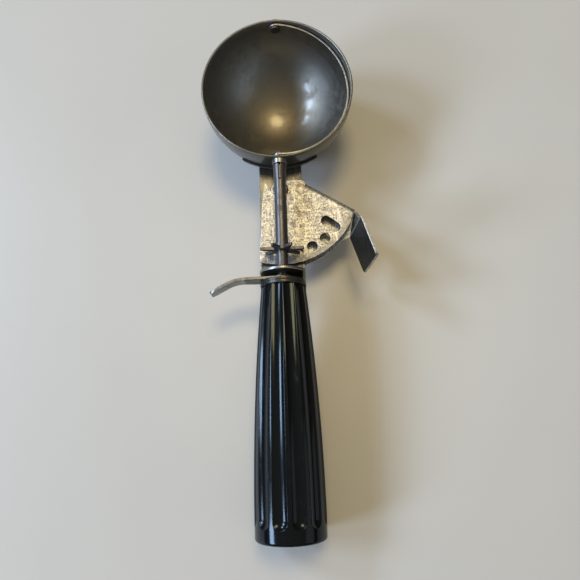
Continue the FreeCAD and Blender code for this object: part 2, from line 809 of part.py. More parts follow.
def make_bowl():
    """The hemispherical bowl with a short straight rim and two bearing holes."""
    body = new_body("bowl")
    inside = s.bowl_radius - s.bowl_wall
    drawing = add_outline(new_sketch(body, "bowl_profile", "XZ_Plane"), [
        (0, -s.bowl_radius), (s.bowl_radius, 0), (s.bowl_radius, s.bowl_skirt),
        (inside, s.bowl_skirt), (inside, 0), (0, -inside),
    ], {0: (0, 0, 1, "y"), 4: (0, 0, -1, "y")})
    revolve(body, "bowl_turn", drawing)
    for name, reverse in (("near_hole", True), ("tip_hole", False)):
        hole = add_circle(new_sketch(body, name, "XZ_Plane"), s.eyelet_radius + s.seat)
        pocket(body, f"{name}_cut", hole, s.bowl_radius * 2, reverse)
    return place(body, y=bowl_centre)


def make_eyelets():
    """The two bearing eyelets in the bowl's wall."""
    bore = s.pin_radius + s.running
    inside = s.bowl_radius - s.bowl_wall + s.seat
    near = turned("bowl_shaft_eyelet", [
        (bore, -inside), (s.eyelet_radius, -inside),
        (s.eyelet_radius, -s.bowl_radius), (s.eyelet_rim_radius, -s.bowl_radius),
        (s.eyelet_rim_radius, -s.bowl_radius - s.eyelet_rim_length),
        (bore, -s.bowl_radius - s.eyelet_rim_length),
    ], y=bowl_centre)
    tip = turned("bowl_tip_eyelet", [
        (bore, inside), (s.eyelet_radius, inside),
        (s.eyelet_radius, s.bowl_radius), (s.tip_rim_radius, s.bowl_radius),
        (s.tip_rim_radius, s.bowl_radius + s.tip_rim_sheet),
        (bore, s.bowl_radius + s.tip_rim_sheet),
    ], y=bowl_centre)
    return [near, tip]


def make_scraper():
    """The spring-steel blade that sweeps the inside of the bowl, and its two pins."""
    shell = cut("blade_shell", ball("blade_outer", blade_outer),
                ball("blade_inner", blade_inner))
    tab = s.blade_tab_radius
    half = s.blade_width / 2
    outline = plate("blade_outline", "XZ_Plane", [
        (0, -tab), (s.bowl_radius, -half), (s.bowl_radius, half), (0, tab),
    ], -s.bowl_radius, s.bowl_radius * 2, {3: (0, 0, 1, "x")})
    pin_hole = rod("blade_pin_holes", s.pin_radius + s.seat, s.bowl_radius * 2,
                   y=-s.bowl_radius, turn=ALONG_Y)
    blade = cut("scraper_blade", common("blade_blank", shell, outline), pin_hole)
    blade.Placement = Placement(Vector(0, value(bowl_centre), 0),
                                Rotation(Vector(0, 1, 0), SIZES["blade_rest_angle"]))
    bind(blade, ".Placement.Base.y", bowl_centre)
    bind(blade, ".Placement.Rotation.Angle", s.blade_rest_angle)

    head = root(blade_inner * blade_inner
                - s.pin_head_radius * s.pin_head_radius) - s.seat
    shaft_face = s.bowl_radius + s.eyelet_rim_length + s.end_play
    stub = shaft_face + s.slit_length - s.slit_width
    spindle = new_body("scraper_spindle")
    drawing = add_outline(new_sketch(spindle, "spindle_profile", "XY_Plane"), [
        (0, s.pin_head_height - head), (s.pin_head_radius, s.pin_head_height - head),
        (s.pin_head_radius, -head), (s.pin_radius, -head),
        (s.pin_radius, -stub), (0, -stub),
    ])
    revolve(spindle, "spindle_turn", drawing)
    doc.recompute()
    flat = s.slit_width / 2 - s.running
    for name, side in (("flat_left", -1), ("flat_right", 1)):
        away = s.pin_radius * 2
        cheek = add_outline(new_sketch(spindle, name, "XY_Plane", -away), [
            (flat * side, -shaft_face), (away * side, -shaft_face),
            (away * side, -stub - flat), (flat * side, -stub - flat),
        ])
        pocket(spindle, f"{name}_cut", cheek, away * 2, reverse=True)
    place(spindle, y=bowl_centre)

    outer = s.bowl_radius + s.tip_rim_sheet + s.running
    tip_pin = turned("scraper_tip_pin", [
        (0, head - s.pin_head_height), (s.pin_head_radius, head - s.pin_head_height),
        (s.pin_head_radius, head), (s.pin_radius, head),
        (s.pin_radius, outer), (s.pin_head_radius, outer),
        (s.pin_head_radius, outer + s.pin_head_height / 2),
        (s.pin_radius, outer + s.pin_head_height),
        (0, outer + s.pin_head_height),
    ], y=bowl_centre)
    return [blade, spindle, tip_pin]


def make_shaft():
    """The scraper shaft: journal, reduced seat for the wheel, and the split upper end."""
    body = new_body("scraper_shaft")
    foot = ear_top + s.end_play
    end = ear_under - s.journal_length
    drawing = add_outline(new_sketch(body, "shaft_profile", "XY_Plane"), [
        (0, end), (s.journal_radius, end), (s.journal_radius, foot),
        (s.shaft_lower_radius, foot), (s.shaft_lower_radius, star_top),
        (s.shaft_radius, star_top), (s.shaft_radius, shaft_top - s.shaft_splay),
        (s.shaft_end_radius, shaft_top), (0, shaft_top),
    ])
    revolve(body, "shaft_turn", drawing)
    doc.recompute()
    half = s.slit_width / 2
    away = s.shaft_end_radius * 2
    slit = add_outline(new_sketch(body, "slit_outline", "XY_Plane", -away), [
        (-half, shaft_top - s.slit_length), (half, shaft_top - s.slit_length),
        (half, shaft_top + half), (-half, shaft_top + half),
    ])
    pocket(body, "slit_cut", slit, away * 2, reverse=True)
    return body


def make_star():
    """The toothed wheel that the lever's holes drive, one tooth straight down at rest."""
    body = new_body("star_wheel")
    half = s.star_sheet / 2
    disc = add_circle(new_sketch(body, "star_disc", "XZ_Plane", -half), s.star_root_radius)
    pad(body, "star_disc_pad", disc, s.star_sheet)
    foot = s.star_root_radius - half
    shoulder = s.star_radius - s.tooth_tip_half
    tooth = add_outline(new_sketch(body, "tooth_outline", "XZ_Plane", -half), [
        (-s.tooth_foot_half, -foot), (-s.tooth_tip_half, -shoulder),
        (s.tooth_tip_half, -shoulder), (s.tooth_foot_half, -foot),
    ], {1: (0, -shoulder, 1, "y")})
    one = pad(body, "tooth_pad", tooth, s.star_sheet)
    doc.recompute()
    ring = body.newObject("PartDesign::PolarPattern", "teeth")
    ring.Originals = [one]
    ring.Axis = (origin_part(body, "Y_Axis"), [""])
    ring.Angle = 360
    ring.Occurrences = TEETH
    body.Tip = ring
    doc.recompute()
    bore = add_circle(new_sketch(body, "star_bore", "XZ_Plane", -s.star_sheet),
                      s.shaft_lower_radius + s.seat)
    pocket(body, "star_bore_cut", bore, s.star_sheet * 2, reverse=True)
    return place(body, y=star_place)


def make_collar():
    """The collar above the wheel, on the shaft's full diameter."""
    return turned("star_collar", [
        (s.shaft_radius + s.seat, star_top), (s.collar_radius, star_top),
        (s.collar_radius, star_top + s.collar_length),
        (s.shaft_radius + s.seat, star_top + s.collar_length),
    ])


pieces = [
    make_handle(),
    make_tang(),
    make_frame(),
    make_finger_rest(),
    make_bracket(),
    make_lever(),
    *make_pivot_pieces(),
    make_spring(),
    make_bowl(),
    *make_eyelets(),
    *make_scraper(),
    make_shaft(),
    make_star(),
    make_collar(),
]
doc.recompute()

for thing in doc.Objects:
    if {"Invalid", "Error"} & set(thing.State):
        raise RuntimeError(f"{thing.Name} failed: {thing.State}")
for piece in pieces:
    piece.Label = piece.Name
    if piece.Shape.isNull() or not piece.Shape.isValid():
        raise RuntimeError(f"{piece.Label} has no valid shape")

os.makedirs("parts", exist_ok=True)
for piece in pieces:
    piece.Shape.exportStep(f"parts/{piece.Label}.step")
    print(piece.Label, round(piece.Shape.Volume, 1), len(piece.Shape.Solids))
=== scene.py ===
"""Looks of a lever ice cream scoop, laid out as an add-on: one operator for each group of
pieces, one for the studio, and a panel that lists them. Lengths are in metres."""

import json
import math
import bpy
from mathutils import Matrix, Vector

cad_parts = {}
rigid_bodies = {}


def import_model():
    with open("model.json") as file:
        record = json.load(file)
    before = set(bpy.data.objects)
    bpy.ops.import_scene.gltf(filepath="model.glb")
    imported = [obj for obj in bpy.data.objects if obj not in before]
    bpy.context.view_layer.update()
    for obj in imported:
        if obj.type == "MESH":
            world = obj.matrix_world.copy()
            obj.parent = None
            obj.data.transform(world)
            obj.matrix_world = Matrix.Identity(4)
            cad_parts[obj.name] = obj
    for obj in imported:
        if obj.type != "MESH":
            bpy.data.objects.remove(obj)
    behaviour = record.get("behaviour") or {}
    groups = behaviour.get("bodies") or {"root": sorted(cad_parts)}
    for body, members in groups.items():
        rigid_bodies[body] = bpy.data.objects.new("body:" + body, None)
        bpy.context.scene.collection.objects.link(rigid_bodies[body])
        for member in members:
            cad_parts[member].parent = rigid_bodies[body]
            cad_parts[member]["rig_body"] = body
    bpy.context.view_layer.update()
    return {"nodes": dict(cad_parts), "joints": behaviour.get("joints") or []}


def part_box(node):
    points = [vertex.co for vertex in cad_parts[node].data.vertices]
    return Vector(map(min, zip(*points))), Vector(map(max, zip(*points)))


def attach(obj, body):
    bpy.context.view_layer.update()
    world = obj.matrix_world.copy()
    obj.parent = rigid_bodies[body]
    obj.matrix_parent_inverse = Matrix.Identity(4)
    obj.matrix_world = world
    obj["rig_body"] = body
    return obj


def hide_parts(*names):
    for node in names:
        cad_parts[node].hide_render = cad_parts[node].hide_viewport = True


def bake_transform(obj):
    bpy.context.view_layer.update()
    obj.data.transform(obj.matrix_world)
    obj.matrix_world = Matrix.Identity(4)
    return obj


bl_info = {
    "name": "Ice Cream Scoop",
    "version": (1, 0, 0),
    "blender": (4, 5, 0),
    "location": "3D View > Sidebar > Scoop",
    "description": "Dresses the pieces of a lever ice cream scoop and lights them",
    "category": "Object",
}

import bmesh
import bpy
from bpy.props import (
    FloatProperty,
    FloatVectorProperty,
    IntProperty,
    PointerProperty,
)
from mathutils import Matrix, Vector
from mathutils.bvhtree import BVHTree

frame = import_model()
MM = 0.001

# How a copy of a CAD node is cleaned: doubles, flat areas, edges that get rounded, the
# steps of a rounding and edges that stay sharp once they are rounded
MERGE = 1e-6
FLAT = math.radians(0.6)
CORNER = math.radians(28)
ROUND_STEPS = 3
SHARP = math.radians(50)

BOWL_LOW, BOWL_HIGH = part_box("bowl")
BOWL_RADIUS = (BOWL_HIGH.x - BOWL_LOW.x) / 2
BOWL_CENTRE = Vector((0, (BOWL_LOW.y + BOWL_HIGH.y) / 2, BOWL_LOW.z + BOWL_RADIUS))
HANDLE_LOW, HANDLE_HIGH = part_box("handle")
HANDLE_LENGTH = HANDLE_HIGH.y
PIVOT = Vector(next(j for j in frame["joints"] if j["name"] == "thumb_press")["pos_m"])


class ScoopSizes(bpy.types.PropertyGroup):
    """Sizes that the looks need beside those of the frame."""

    edge_round: FloatProperty(
        name="Edge round", description="Rounding of the sheet pieces' edges",
        default=0.16 * MM, unit="LENGTH", precision=5)
    fine_round: FloatProperty(
        name="Fine round", description="Rounding of small turned pieces' edges",
        default=0.1 * MM, unit="LENGTH", precision=5)
    bowl_wall: FloatProperty(
        name="Bowl wall", description="Thickness of the bowl's wall",
        default=1.0 * MM, unit="LENGTH", precision=5)
    flutes: IntProperty(name="Flutes", description="Flutes round the handle", default=12)
    flute_land: FloatProperty(
        name="Flute land", description="Flat left between two flutes at the butt",
        default=0.62 * MM, unit="LENGTH", precision=5)
    flute_depth: FloatProperty(
        name="Flute depth", description="Depth of a flute below the grip's surface",
        default=1.1 * MM, unit="LENGTH", precision=5)
    flute_end: FloatProperty(
        name="Flute end", description="Where the flutes run out above the butt",
        default=5.4 * MM, unit="LENGTH", precision=5)
    ridge_round: FloatProperty(
        name="Ridge round", description="Softness of the ridges between the flutes",
        default=0.14 * MM, unit="LENGTH", precision=5)
    butt_band: FloatProperty(
        name="Butt band", description="Length of the handle's straight end band",
        default=5.4 * MM, unit="LENGTH", precision=5)
    butt_round: FloatProperty(
        name="Butt round", description="Rounding of the handle's end",
        default=1.2 * MM, unit="LENGTH", precision=5)
    top_radius: FloatProperty(
        name="Top radius", description="Radius of the handle under the plates",
        default=8.9 * MM, unit="LENGTH", precision=5)


class ScoopColours(bpy.types.PropertyGroup):
    """Base colours of the finishes."""

    handle: FloatVectorProperty(
        name="Handle", description="Black moulded plastic", subtype="COLOR",
        default=(0.003, 0.0035, 0.0045))
    frame_sheet: FloatVectorProperty(
        name="Frame", description="Satin steel sheet of the frame", subtype="COLOR",
        default=(0.30, 0.30, 0.29))
    lever_sheet: FloatVectorProperty(
        name="Lever", description="Worn, warm steel sheet of the lever", subtype="COLOR",
        default=(0.63, 0.63, 0.61))
    bowl_sheet: FloatVectorProperty(
        name="Bowl", description="Spun steel of the bowl", subtype="COLOR",
        default=(0.23, 0.23, 0.215))
    blade_sheet: FloatVectorProperty(
        name="Blade", description="Spring steel of the scraper blade", subtype="COLOR",
        default=(0.30, 0.30, 0.29))
    shaft_rod: FloatVectorProperty(
        name="Shaft", description="Dark polished steel of the shaft", subtype="COLOR",
        default=(0.12, 0.115, 0.12))
    fastener: FloatVectorProperty(
        name="Fasteners", description="Steel of rivet, bush and washer", subtype="COLOR",
        default=(0.22, 0.20, 0.17))
    spring_wire: FloatVectorProperty(
        name="Spring", description="Browned spring wire", subtype="COLOR",
        default=(0.17, 0.10, 0.06))
    tarnish: FloatVectorProperty(
        name="Tarnish", description="Brown film in the worn steel", subtype="COLOR",
        default=(0.07, 0.05, 0.03))
    blush: FloatVectorProperty(
        name="Blush", description="Reddish stain of the lever's leaves", subtype="COLOR",
        default=(0.42, 0.27, 0.21))
    floor: FloatVectorProperty(
        name="Floor", description="Pale plain floor", subtype="COLOR",
        default=(0.57, 0.56, 0.54))


class ScoopStudio(bpy.types.PropertyGroup):
    """Camera and lights."""

    camera_place: FloatVectorProperty(
        name="Camera place", description="Where the camera stands", subtype="TRANSLATION",
        unit="LENGTH", default=(5.78 * MM, 45.22 * MM, 230.55 * MM))
    camera_turn: FloatVectorProperty(
        name="Camera turn", description="The camera's rotation", subtype="EULER",
        unit="ROTATION",
        default=(math.radians(12.08), math.radians(1.19), math.radians(-1.92)))
    camera_lens: FloatProperty(
        name="Camera lens", description="Focal length on a 36 mm sensor, in millimetres",
        default=36.16)
    window_power: FloatProperty(
        name="Window", description="Power of each cool pane on the left", unit="POWER",
        default=15.4)
    lamp_power: FloatProperty(
        name="Lamp", description="Power of the warm ceiling light", unit="POWER",
        default=8.6)
    sky: FloatProperty(
        name="Sky", description="Strength of the soft light from all round", default=0.2)


def new_piece(name, work, body=None, slot=None, stands_for=()):
    """Turn a bmesh into an object that rides on a body and stands for CAD nodes."""
    data = bpy.data.meshes.new(name)
    work.to_mesh(data)
    work.free()
    data.shade_smooth()
    thing = bpy.data.objects.new(name, data)
    bpy.context.scene.collection.objects.link(thing)
    if body:
        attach(thing, body)
    if slot:
        data.materials.append(bpy.data.materials[f"{slot}_finish"])
    if stands_for:
        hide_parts(*stands_for)
    return thing


def node_copy(node):
    """A merged bmesh of a CAD node, with its flat areas as one face each."""
    work = bmesh.new()
    work.from_mesh(frame["nodes"][node].data)
    bmesh.ops.remove_doubles(work, verts=work.verts, dist=MERGE)
    bmesh.ops.dissolve_limit(work, angle_limit=FLAT, verts=work.verts, edges=work.edges)
    return work


def rounded_copy(node, slot, width, rides=True, reshape=None, darkened_faces=None):
    """Stand in for a CAD node with the same shape and its sharp edges rounded. Rounded edges
    get the attribute worn, and the faces that the given picker picks get an attribute that
    paints them darker: painted shade in the lever's holes, a plain darkening elsewhere."""
    work = node_copy(node)
    if reshape:
        reshape(work)
    worn = work.faces.layers.float.new("worn")
    shade_and_darkening = work.faces.layers.float.new("shade_and_darkening")
    if width:
        corners = [e for e in work.edges if e.is_manifold and e.calc_face_angle() > CORNER]
        rounded = bmesh.ops.bevel(
            work, geom=corners, offset=width, offset_type="OFFSET",
            segments=ROUND_STEPS, profile=0.5, affect="EDGES", material=-1,
            clamp_overlap=False)
        for face in rounded["faces"]:
            face[worn] = 1.0
    # Mark the picked faces to be painted darker: painted shade in the lever's holes, a plain
    # darkening elsewhere
    for face, amount in darkened_faces(work) if darkened_faces else ():
        face[shade_and_darkening] = amount
    body = frame["nodes"][node]["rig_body"] if rides else None
    piece = new_piece(f"{node}_finished", work, body, slot, [node])
    piece.data.set_sharp_from_angle(angle=SHARP)
    weights = piece.modifiers.new("flat_faces_first", "WEIGHTED_NORMAL")
    weights.keep_sharp = True
    return piece


# Places round one flute's half, from its middle to the middle of the ridge: evenly in the
# flute, close together at its edge and evenly over the land. The offsets are in degrees
FLUTE_STEPS = 7
EDGE_OFFSETS = (-0.6, -0.28, -0.09, 0.09, 0.28, 0.6)
LAND_STEPS = 3
HALF_STEPS = FLUTE_STEPS + len(EDGE_OFFSETS) + LAND_STEPS
LEAST_EDGE = math.radians(1.0)
LEAST_STEP = math.radians(0.02)

# Rows along the handle: round the butt's edge, on the band, over the flutes' ends and on
# to the plates, with the margin by which the close rows pass the ends
BUTT_ROWS = 8
BAND_ROWS = 5
END_ROWS = 24
GRIP_ROWS = 34
END_MARGIN = 0.6 * MM
GRIP_SHARP = math.radians(60)


class HandleForm:
    """The grip's outline and the flutes that a round cutter leaves in it."""

    def __init__(self, sizes):
        self.sizes = sizes
        self.butt = HANDLE_HIGH.z
        swell = self.butt - sizes.top_radius
        run = HANDLE_LENGTH - sizes.butt_band
        self.sweep = (run * run + swell * swell) / (2 * swell)
        self.pitch = 2 * math.pi / sizes.flutes
        run_out = self.butt * math.sin(self.pitch / 2) - sizes.flute_land / 2
        depth = sizes.flute_depth
        self.cutter = (run_out * run_out / depth + depth) / 2
        self.path = self.sweep + self.cutter - depth
        self.start = sizes.flute_end + run_out

    def radius(self, y):
        """The grip's radius before the flutes, straight on the band and then swept in."""
        rise = max(0.0, y - self.sizes.butt_band)
        return self.butt - self.sweep + math.sqrt(self.sweep ** 2 - rise * rise)

    def cutter_at(self, y):
        """The cutter's distance from the axis and its radius in the plane at y."""
        if y >= self.start:
            rise = y - self.start
            centre = self.butt - self.sweep + math.sqrt(self.path ** 2 - rise * rise)
            return centre, self.cutter
        inside = self.cutter ** 2 - (self.start - y) ** 2
        return self.butt - self.sizes.flute_depth + self.cutter, math.sqrt(max(0.0, inside))

    def edge_angle(self, y):
        """The angle from a flute's middle to its edge."""
        centre, cutter = self.cutter_at(y)
        outer = self.radius(y)
        share = (outer ** 2 + centre ** 2 - cutter ** 2) / (2 * outer * centre)
        return math.acos(min(1.0, share))

    def place(self, y, index):
        """Angle and radius of a point: index counts from a flute's middle to the ridge."""
        degree = math.radians(1.0)
        edge = max(self.edge_angle(y), LEAST_EDGE)
        last = self.pitch / 2
        if index <= FLUTE_STEPS:
            angle = (edge + EDGE_OFFSETS[0] * degree) * index / (FLUTE_STEPS + 1)
        elif index <= FLUTE_STEPS + len(EDGE_OFFSETS):
            angle = edge + EDGE_OFFSETS[index - FLUTE_STEPS - 1] * degree
        else:
            nearer = edge + EDGE_OFFSETS[-1] * degree
            share = (index - FLUTE_STEPS - len(EDGE_OFFSETS)) / LAND_STEPS
            angle = nearer + (last - nearer) * share
        angle = min(angle, last - (HALF_STEPS - index) * LEAST_STEP)
        outer = self.radius(y)
        centre, cutter = self.cutter_at(y)
        reach = cutter ** 2 - (centre * math.sin(angle)) ** 2
        if reach <= 0 or cutter == 0:
            return angle, outer
        floor = centre * math.cos(angle) - math.sqrt(reach)
        soft = self.sizes.ridge_round
        overlap = max(soft - abs(floor - outer), 0) / soft
        return angle, min(floor, outer) - overlap * overlap * soft / 4

    def profile(self):
        """Points of the outline from the butt's middle to the top's, as radius and y."""
        corner = self.sizes.butt_round
        points = [(0, 0), (self.butt * 0.5, 0), (self.butt * 0.85, 0)]
        for row in range(BUTT_ROWS + 1):
            turn = math.radians(90 * row / BUTT_ROWS)
            points.append((self.butt - corner + corner * math.sin(turn),
                           corner - corner * math.cos(turn)))
        low = self.sizes.flute_end - END_MARGIN
        high = self.start + END_MARGIN
        rows = [corner + (low - corner) * k / BAND_ROWS for k in range(1, BAND_ROWS)]
        rows += [low + (high - low) * k / END_ROWS for k in range(END_ROWS + 1)]
        rows += [high + (HANDLE_LENGTH - high) * k / GRIP_ROWS
                 for k in range(1, GRIP_ROWS + 1)]
        points += [(self.radius(y), y) for y in rows]
        return points + [(self.sizes.top_radius * 0.5, HANDLE_LENGTH), (0, HANDLE_LENGTH)]


class SCOOP_OT_handle(bpy.types.Operator):
    """Turn the handle about the shaft's axis and press its flutes in"""

    bl_idname = "scoop.handle"
    bl_label = "Handle"

    def execute(self, context):
        sizes = context.scene.scoop_sizes
        form = HandleForm(sizes)
        work = bmesh.new()
        points = [work.verts.new((r, y, 0)) for r, y in form.profile()]
        edges = [work.edges.new(pair) for pair in zip(points, points[1:])]
        steps = sizes.flutes * HALF_STEPS * 2
        bmesh.ops.spin(work, geom=points + edges, axis=(0, 1, 0), cent=(0, 0, 0),
                       angle=2 * math.pi, steps=steps, use_merge=True)
        bmesh.ops.remove_doubles(work, verts=work.verts, dist=MERGE)
        for vert in work.verts:
            x, y, z = vert.co
            radius = math.hypot(x, z)
            if radius < MERGE:
                continue
            count = round(math.atan2(z, x) / (2 * math.pi) * steps)
            pitch, index = divmod(count, HALF_STEPS * 2)
            side = 1 if index >= HALF_STEPS else -1
            angle, reach = form.place(y, abs(index - HALF_STEPS))
            around = (pitch + 0.5) * form.pitch + side * angle
            if sizes.flute_end < y and radius > form.radius(y) - MERGE:
                radius = reach
            vert.co = (radius * math.cos(around), y, radius * math.sin(around))
        bmesh.ops.recalc_face_normals(work, faces=work.faces)
        piece = new_piece("handle_grip", work, "grip", "handle_plastic", ["handle"])
        piece.data.set_sharp_from_angle(angle=GRIP_SHARP)
        return {"FINISHED"}


# Where the finger rest starts to narrow, where it has its last width, and that width as
# a share of the first
TONGUE_START = -9.6 * MM
TONGUE_SLIM = -17.0 * MM
TONGUE_WIDTH = 0.66

# How far the plates on the handle's end reach along and across it, and how dark they are
# and the rest of the frame is
STACK_HEIGHT = 3.7 * MM
STACK_HALF = 9.8 * MM
STACK_DARKNESS = 0.85
FRAME_DARKNESS = 0.62


def narrow_tongue(work):
    """Draw the finger rest in to a narrower tongue outside the plates."""
    for vert in work.verts:
        share = (TONGUE_START - vert.co.x) / (TONGUE_START - TONGUE_SLIM)
        share = min(1.0, max(0.0, share))
        share = share * share * (3 - 2 * share)
        vert.co.z *= 1 - (1 - TONGUE_WIDTH) * share


def darker_stack_faces(work):
    """The plates stacked on the handle's end, painted darker than what stands off them."""
    spots = [(face, face.calc_center_median()) for face in work.faces]
    return [(face, STACK_DARKNESS) for face, spot in spots
            if spot.y < HANDLE_LENGTH + STACK_HEIGHT and abs(spot.x) < STACK_HALF]


def darker_frame_faces(work):
    """All of the frame, painted darker than the lever's sheets, and the stacked plates darker
    still.
    """
    return [(face, FRAME_DARKNESS) for face in work.faces] + darker_stack_faces(work)


class SCOOP_OT_plates(bpy.types.Operator):
    """Round the edges of the frame, the finger rest, the bracket and the tang bolt"""

    bl_idname = "scoop.plates"
    bl_label = "Frame, finger rest and bracket"

    def execute(self, context):
        sizes = context.scene.scoop_sizes
        rounded_copy("frame", "frame_steel", sizes.edge_round, darkened_faces=darker_frame_faces)
        rounded_copy("finger_rest", "frame_steel", sizes.edge_round,
                     reshape=narrow_tongue, darkened_faces=darker_stack_faces)
        rounded_copy("bearing_bracket", "frame_steel", sizes.edge_round,
                     darkened_faces=darker_stack_faces)
        rounded_copy("tang_bolt", "fastener_steel", sizes.fine_round)
        return {"FINISHED"}


# The pad stands further from the pivot than the leaves do. A wall that sees another one
# within the longest hole's length is inside a hole
LEAF_REACH = 33 * MM
PAD_LEAST_AREA = 20 * MM * MM
HOLES_FROM = 4 * MM
LONGEST_HOLE = 9 * MM
RAY_LIFT = 0.05 * MM


def pad_and_hole_shade_faces(work):
    """Faces painted dark: the pad's face that looks back at the handle, darkened, and the
    walls of the leaf's holes, where the dark is painted shade.
    """
    tree = BVHTree.FromBMesh(work)
    picked = []
    for face in work.faces:
        middle = face.calc_center_median()
        if (middle - PIVOT).to_2d().length > LEAF_REACH:
            # The pad's face towards the handle: painted dark
            painted_dark = face.normal.x < -0.8 and face.calc_area() > PAD_LEAST_AREA
        elif abs(face.normal.z) < 0.3 and middle.x > HOLES_FROM:
            start = middle + face.normal * RAY_LIFT
            # A wall inside one of the leaf's holes: painted shade
            painted_dark = tree.ray_cast(start, face.normal, LONGEST_HOLE)[0] is not None
        else:
            painted_dark = False
        if painted_dark:
            picked.append((face, 1.0))
    return picked


class SCOOP_OT_lever(bpy.types.Operator):
    """Round the edges of the folded thumb lever"""

    bl_idname = "scoop.lever"
    bl_label = "Thumb lever"

    def execute(self, context):
        sizes = context.scene.scoop_sizes
        rounded_copy("thumb_lever", "lever_steel", sizes.edge_round,
                     darkened_faces=pad_and_hole_shade_faces)
        return {"FINISHED"}


class SCOOP_OT_pivot(bpy.types.Operator):
    """Round the rivet, the bush and the washer of the lever's pivot"""

    bl_idname = "scoop.pivot"
    bl_label = "Pivot"

    def execute(self, context):
        sizes = context.scene.scoop_sizes
        for node in ("lever_pivot_rivet", "pivot_bush", "pivot_washer"):
            rounded_copy(node, "fastener_steel", sizes.fine_round)
        return {"FINISHED"}


class SCOOP_OT_spring(bpy.types.Operator):
    """Smooth the return spring, which rides on no body"""

    bl_idname = "scoop.spring"
    bl_label = "Return spring"

    def execute(self, context):
        piece = rounded_copy("return_spring", "spring_steel", 0, rides=False)
        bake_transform(piece)
        return {"FINISHED"}


# Steps from the bowl's lowest point to its rim, over the rim and all the way round
BOWL_STEPS = 40
LIP_STEPS = 8
BOWL_TURN_STEPS = 192


def quarter_arc(radius):
    """Points from the bottom of a round bowl up to its rim, as radius and height."""
    turns = [math.radians(90 * k / BOWL_STEPS) for k in range(BOWL_STEPS + 1)]
    return [(radius * math.sin(turn), -radius * math.cos(turn)) for turn in turns]


class SCOOP_OT_bowl(bpy.types.Operator):
    """Spin the bowl from its section, with a rolled rim"""

    bl_idname = "scoop.bowl"
    bl_label = "Bowl"

    def execute(self, context):
        sizes = context.scene.scoop_sizes
        rim = BOWL_HIGH.z
        lip = sizes.bowl_wall / 2
        profile = quarter_arc(BOWL_RADIUS)
        for step in range(LIP_STEPS + 1):
            turn = math.pi * step / LIP_STEPS
            profile.append((BOWL_RADIUS - lip + lip * math.cos(turn),
                            rim - lip + lip * math.sin(turn)))
        profile += quarter_arc(BOWL_RADIUS - sizes.bowl_wall)[::-1]
        work = bmesh.new()
        points = [work.verts.new((r, 0, z)) for r, z in profile]
        edges = [work.edges.new(pair) for pair in zip(points, points[1:])]
        bmesh.ops.spin(work, geom=points + edges, axis=(0, 0, 1), cent=(0, 0, 0),
                       angle=2 * math.pi, steps=BOWL_TURN_STEPS, use_merge=True)
        bmesh.ops.remove_doubles(work, verts=work.verts, dist=MERGE)
        bmesh.ops.translate(work, vec=BOWL_CENTRE, verts=work.verts)
        bmesh.ops.recalc_face_normals(work, faces=work.faces)
        worn = work.faces.layers.float.new("worn")
        for face in work.faces:
            face[worn] = float(face.calc_center_median().z > rim - lip)
        new_piece("bowl_spun", work, "grip", "bowl_steel", ["bowl"])
        for node in ("bowl_shaft_eyelet", "bowl_tip_eyelet"):
            rounded_copy(node, "frame_steel", sizes.fine_round)
        return {"FINISHED"}


class SCOOP_OT_scraper(bpy.types.Operator):
    """Round the scraper blade, its pins, the shaft, the toothed wheel and its collar"""

    bl_idname = "scoop.scraper"
    bl_label = "Scraper"

    def execute(self, context):
        sizes = context.scene.scoop_sizes
        rounded_copy("scraper_blade", "blade_steel", sizes.edge_round)
        for node in ("scraper_spindle", "scraper_tip_pin", "scraper_shaft", "star_collar"):
            rounded_copy(node, "shaft_steel", sizes.fine_round)
        rounded_copy("star_wheel", "shaft_steel", sizes.edge_round)
        return {"FINISHED"}


def put(tree, kind, feeds=None, **settings):
    """Add a node. feeds gives its inputs: a value, or the output that is linked."""
    node = tree.nodes.new(kind)
    for key, setting in settings.items():
        setattr(node, key, setting)
    for socket, source in (feeds or {}).items():
        if isinstance(source, bpy.types.NodeSocket):
            tree.links.new(source, node.inputs[socket])
        else:
            node.inputs[socket].default_value = source
    return node


def maths(tree, operation, *feeds):
    """One Math node's output."""
    return put(tree, "ShaderNodeMath", dict(enumerate(feeds)), operation=operation).outputs[0]


def blend_colours(tree, share, low, high):
    """Mix two colours, each a value or an output, by a share."""
    node = put(tree, "ShaderNodeMix", {0: share}, data_type="RGBA")
    for index, colour in ((6, low), (7, high)):
        if isinstance(colour, bpy.types.NodeSocket):
            tree.links.new(colour, node.inputs[index])
        else:
            node.inputs[index].default_value = (*colour, 1)
    return node.outputs[2]


def new_group(name, inputs, outputs):
    """A shader node group with float or vector inputs and float outputs."""
    tree = bpy.data.node_groups.new(name, "ShaderNodeTree")
    for label, default in inputs:
        kind = "NodeSocketFloat" if isinstance(default, float) else "NodeSocketVector"
        socket = tree.interface.new_socket(label, in_out="INPUT", socket_type=kind)
        if isinstance(default, float):
            socket.default_value = default
    for label in outputs:
        tree.interface.new_socket(label, in_out="OUTPUT", socket_type="NodeSocketFloat")
    return tree, tree.nodes.new("NodeGroupInput"), tree.nodes.new("NodeGroupOutput")


def make_brush_group():
    """Long fine marks left by brushing or turning, stretched by the incoming vector."""
    tree, given, out = new_group(
        "brush_marks", [("Vector", None), ("Scale", 900.0)], ["Marks"])
    fine = put(tree, "ShaderNodeTexNoise", {
        "Vector": given.outputs["Vector"], "Scale": given.outputs["Scale"],
        "Detail": 4.0, "Roughness": 0.65})
    level = put(tree, "ShaderNodeMapRange", {
        "Value": fine.outputs[0], "From Min": 0.3, "From Max": 0.7})
    tree.links.new(level.outputs[0], out.inputs["Marks"])


